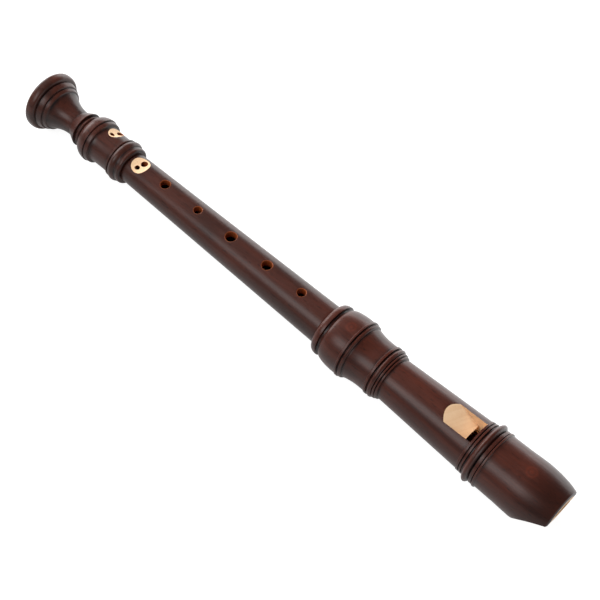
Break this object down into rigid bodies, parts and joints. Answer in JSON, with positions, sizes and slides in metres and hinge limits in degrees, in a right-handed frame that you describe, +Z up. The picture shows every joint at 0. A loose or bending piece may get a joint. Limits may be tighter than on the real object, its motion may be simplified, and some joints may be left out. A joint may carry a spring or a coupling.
{
  "type": "soprano recorder",
  "caption": "Soprano recorder turned in stained wood: beaked head with window and cedar block, middle joint with finger holes, belled foot, cork-lapped tenons.",
  "frame": {"origin": "under the middle of the instrument's box, on the surface that it lies on", "axes": "+X along the bore towards the mouth end, +Z up out of the finger holes and window, +Y towards the larger hole of each pair"},
  "size_m": [0.326, 0.0312, 0.0312],
  "materials": {
    "stained_wood": "dark brown stain under a satin oil finish",
    "cedar": "bare cedar, straight grain",
    "cork": "sheet cork, lightly greased"
  },
  "bodies": {
    "middle": {"middle_joint": "stained_wood"},
    "upper_cork": {"upper_tenon_cork": "cork"},
    "head": {"head_joint": "stained_wood"},
    "block": {"block": "cedar"},
    "lower_cork": {"lower_tenon_cork": "cork"},
    "foot": {"foot_joint": "stained_wood"}
  },
  "joints": [
    {"name": "head_turn", "type": "hinge", "parent": "middle", "child": "upper_cork", "pos_m": [0.038, 0, 0.0156], "axis": [1, 0, 0], "continuous": true},
    {"name": "head_pull", "type": "slide", "parent": "upper_cork", "child": "head", "axis": [1, 0, 0], "range_m": [0, 0.024]},
    {"name": "block_push", "type": "slide", "parent": "head", "child": "block", "axis": [1, 0, 0], "range_m": [0, 0.05]},
    {"name": "foot_turn", "type": "hinge", "parent": "middle", "child": "lower_cork", "pos_m": [-0.1067, 0, 0.0156], "axis": [-1, 0, 0], "continuous": true},
    {"name": "foot_pull", "type": "slide", "parent": "lower_cork", "child": "foot", "axis": [-1, 0, 0], "range_m": [0, 0.016]}
  ]
}
